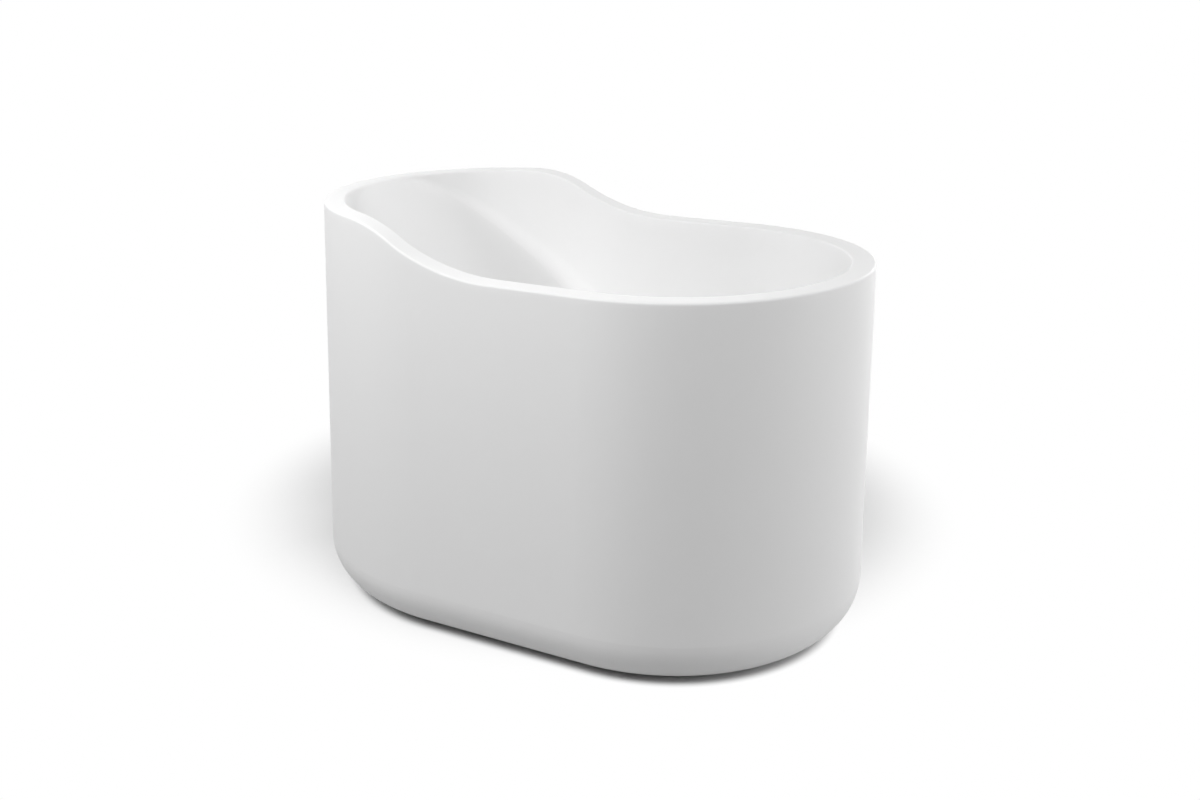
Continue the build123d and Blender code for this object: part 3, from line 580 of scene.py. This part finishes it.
recess = cutter(circle(waste_x, recess_radius, recess_floor), (0, 0, 1), recess_depth)
cut(cast_basin, [slot, hole, recess])
dress(cast_basin, cast_stone, "tub", "basin", sharp=40.0)

# Overflow: a rubber gasket and a slim moulded chamber over the slot, held in the casting's pad by two round-headed
# screws of zinc-plated steel.
rubber = Finish("black_rubber", {"Roughness": 0.7})
rubber.feed("Base Color", rubber.between(rubber.noise(150.0), (0.014, 0.014, 0.014), (0.03, 0.03, 0.03)))
rubber.on("overflow_gasket")
white_plastic = Finish("white_plastic", {"Roughness": 0.35})
flow = white_plastic.noise(60.0)
white_plastic.feed("Base Color", white_plastic.between(flow, (0.74, 0.74, 0.73), (0.8, 0.8, 0.79)))
white_plastic.on("overflow_box")
zinc.on("overflow_screws")

# Waste: a chromed brass cup with its flange in the recess of the well, a rubber washer under the flange and a
# gasket under the boss, and the moulded tee that is screwed up on the cup.
chrome = Finish("chromed_brass", {"Metallic": 1.0, "Base Color": (0.82, 0.82, 0.83, 1.0)})
chrome.feed("Roughness", 0.06 + 0.06 * chrome.noise(120.0, 3.0))
chrome.on("waste_flange")
rubber.on("waste_flange_seal", "waste_gasket")
white_plastic.on("waste_tee")

# Plug: a turned and chromed brass cap with a rubber seal under it, whose pin clicks up and down in the latch
# barrel of bare brass on the cup's cross bar.
brass = Finish("bare_brass", {"Metallic": 1.0, "Roughness": 0.3})
brass.feed("Base Color", brass.between(brass.noise(150.0), (0.55, 0.38, 0.15), (0.7, 0.52, 0.25)))
brass.on("plug_barrel")
rubber.on("plug_seal")
plug_underside, plug_radius, plug_edge, crown = 117.1, 31.0, 3.5, 2.0
pin_radius, pin_length, chamfer, edge_radius, edge_steps, dome_steps = 4.0, 24.0, 0.8, 1.5, 8, 16
flat_radius = plug_radius - edge_radius
profile = [(pin_radius - 1, plug_underside - pin_length), (pin_radius, plug_underside - pin_length + 1)]
profile += [(pin_radius, plug_underside), (plug_radius - chamfer, plug_underside)]
profile += [(plug_radius, plug_underside + chamfer)]
for k in range(edge_steps + 1):
    bend = math.pi / 2 * k / edge_steps
    height = plug_underside + plug_edge - edge_radius + edge_radius * math.sin(bend)
    profile.append((plug_radius - edge_radius * (1 - math.cos(bend)), height))
for k in range(1, dome_steps + 1):
    radius = flat_radius * (1 - k / dome_steps)
    profile.append((max(radius, tip), plug_underside + plug_edge + crown * (1 - (radius / flat_radius) ** 2)))
cap = Form()
cap.turned((waste_x, 0), profile, count=96)
dress(cap.made("turned_plug_cap"), chrome, "plug", "plug_cap", sharp=50.0)

# Overflow pipe: a bent pipe of white plastic from the chamber to the tee. At each end a ribbed union nut draws a
# cone seal against the mouth of the socket.
white_plastic.on("overflow_pipe")
rubber.on("overflow_seal_top", "overflow_seal_bottom")
nut_radius, nut_end_radius, nut_length, nut_bore, pipe_bore = 15.0, 14.0, 15.0, 12.4, 10.6
rib_height, ribs_round = 0.9, 18
nut_outside = [(nut_radius, 0.0), (nut_radius, 11.0), (14.2, 12.5), (nut_end_radius, nut_length)]
nut_profile = [(pipe_bore, nut_length), (pipe_bore, 12.0), (nut_bore, 12.0), (nut_bore, 0.0), *nut_outside]


def grip(radius, turn, _):
    """Ribs round the outside of a union nut, for the fingers."""
    rib = max(0.0, math.cos(ribs_round * turn)) ** 0.5
    return radius + (rib_height * rib - rib_height if radius > nut_end_radius else 0.0)


for end in ("top", "bottom"):
    low, high = (Vector(corner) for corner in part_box(f"overflow_nut_{end}"))
    middle = (low + high) / 2
    mouth, way = Vector((middle.x, middle.y, high.z)), Vector((0, 0, -1))
    if end == "bottom":
        mouth, way = Vector((low.x, middle.y, middle.z)), Vector((1, 0, 0))
    nut = Form()
    nut.turned((0, 0), nut_profile, grip, count=144, closed=True)
    piece = nut.made(f"ribbed_union_nut_{end}")
    piece.data.transform(Matrix.Translation(mouth) @ way.to_track_quat("Z", "Y").to_matrix().to_4x4())
    dress(piece, white_plastic, "tub", f"overflow_nut_{end}")


# Stage: a pale floor and plain white surroundings. The eye and glossy surfaces see them white. Round the tub's foot
# and in a disc behind the tub the floor is lit grey and keeps the tub's real soft shadow; the grey disc itself is
# painted shade, and it passes into plain white.
def seen(tree):
    """1 for what the eye, gloss and glass see, 0 for light thrown from surface to surface."""
    rays = [f"Is {kind} Ray" for kind in ("Camera", "Glossy", "Transmission")]
    eye, gloss, glass = (tree.node("ShaderNodeLightPath", {}, (), ray) for ray in rays)
    return eye + gloss + glass


white = (1.0, 1.0, 1.0, 1.0)
studio = bpy.data.worlds.new("studio")
bpy.context.scene.world = studio
air = Nodes(studio)
air.plug(air.nodes["Background"].inputs["Color"], white)
air.plug(air.nodes["Background"].inputs["Strength"], seen(air))

stage_reach = 40.0
stage_corners = [(x * stage_reach, y * stage_reach, 0.0) for x, y in ((-1, -1), (1, -1), (1, 1), (-1, 1))]
floor_mesh = bpy.data.meshes.new("studio_floor")
floor_mesh.from_pydata(stage_corners, [], [(0, 1, 2, 3)])
studio_floor = bpy.data.objects.new("studio_floor", floor_mesh)
bpy.context.scene.collection.objects.link(studio_floor)

view_azimuth = math.radians(28.04)
# Disc of painted shade: inside it, behind the tub away from the camera, the floor is lit grey instead of plain white.
painted_shade_behind, painted_shade_fades, painted_shade_ends = 0.555, 0.59, 1.01
painted_shade_centre = painted_shade_behind * Vector((-math.sin(view_azimuth), math.cos(view_azimuth), 0.0))
contact_fades, contact_ends = -0.068, -0.036
paint = Finish("floor_paint", {"Roughness": 0.9, "Specular IOR Level": 0.0})
paint_seen = seen(paint)
paint.feed("Base Color", paint.between(paint_seen, (0.5, 0.5, 0.5), (0.75, 0.75, 0.75)))
fade = {"interpolation_type": "SMOOTHSTEP"}
from_painted_shade = paint.node("ShaderNodeVectorMath", {"operation": "DISTANCE"}, (paint.place, painted_shade_centre), "Value")
clear_of_painted_shade = paint.node("ShaderNodeMapRange", fade, (from_painted_shade, painted_shade_fades, painted_shade_ends))
along, across = (paint.node("ShaderNodeSeparateXYZ", {}, (paint.place,), axis) for axis in "XY")
past_straight = paint.node("ShaderNodeMath", {"operation": "MAXIMUM"}, (abs(along) - end_centre / 1000, 0.0))
from_wall = (past_straight**2 + across**2) ** 0.5 - outer_half_width / 1000
clear_of_tub = paint.node("ShaderNodeMapRange", fade, (from_wall, contact_fades, contact_ends))
plain_white = paint.node("ShaderNodeEmission", {}, (white, 1.0))
painted = Wire(paint, paint.shader.outputs["BSDF"])
surface = paint.node("ShaderNodeMixShader", {}, (clear_of_painted_shade * clear_of_tub * paint_seen, painted, plain_white))
paint.plug(paint.nodes["Material Output"].inputs["Surface"], surface)
floor_mesh.materials.append(paint.material)

# Soft lamps that aim at the tub, placed by their angles from the camera and from the floor, in degrees.
middle_of_tub, lamp_distance = Vector((0, 0, 0.45)), 3.2
for name, from_camera, height, size, watts in (
    ("front_softbox", 0, 38, (2.5, 2.0), 20.0),
    ("left_softbox", -60, 45, (2.0, 2.0), 67.0),
    ("left_back_softbox", -120, 20, (1.5, 2.0), 9.0),
    ("right_softbox", 75, 12, (1.2, 2.0), 38.0),
    ("right_back_softbox", 130, 20, (1.5, 2.0), 42.0),
    ("back_softbox", 190, 20, (2.5, 1.5), 12.0),
    ("top_softbox", 0, 70, (2.5, 2.5), 19.0),
):
    turn, rise = view_azimuth + math.radians(from_camera), math.radians(height)
    way = Vector((math.sin(turn) * math.cos(rise), -math.cos(turn) * math.cos(rise), math.sin(rise)))
    lamp = bpy.data.lights.new(name, "AREA")
    lamp.shape = "RECTANGLE"
    lamp.size, lamp.size_y = size
    lamp.energy = watts
    holder = bpy.data.objects.new(name, lamp)
    bpy.context.scene.collection.objects.link(holder)
    holder.location = middle_of_tub + lamp_distance * way
    holder.rotation_mode = "QUATERNION"
    holder.rotation_quaternion = (-way).to_track_quat("-Z", "Y")
    holder.visible_camera = False

# Camera: it stands a little to the right of the near side, higher than the rim, and looks slightly down on the
# tub through a normal lens. It is tilted to the side by a very small angle.
view_elevation, view_roll, view_distance = math.radians(18.82), math.radians(0.6), 3.107
view_target = Vector((0, 0, 0.4375))
image_width, focal_pixels, centre_right_of_axis, centre_above_axis = 1200.0, 1347.0, 9.3, 7.2
flat = Vector((math.sin(view_azimuth), -math.cos(view_azimuth), 0))
back = (flat * math.cos(view_elevation) + Vector((0, 0, math.sin(view_elevation)))).normalized()
right = Vector((math.cos(view_azimuth), math.sin(view_azimuth), 0))
up = back.cross(right)
rolled_right = right * math.cos(view_roll) + up * math.sin(view_roll)
rolled_up = up * math.cos(view_roll) - right * math.sin(view_roll)
camera = bpy.data.objects.new("camera", bpy.data.cameras.new("camera"))
bpy.context.scene.collection.objects.link(camera)
camera.data.sensor_width = 36.0
camera.data.lens = camera.data.sensor_width * focal_pixels / image_width
camera.data.shift_x = centre_right_of_axis / image_width
camera.data.shift_y = centre_above_axis / image_width
facing = Matrix((rolled_right, rolled_up, back)).transposed()
camera.matrix_world = Matrix.Translation(view_target + back * view_distance) @ facing.to_4x4()
bpy.context.scene.camera = camera

bpy.context.scene.view_settings.view_transform = "Standard"
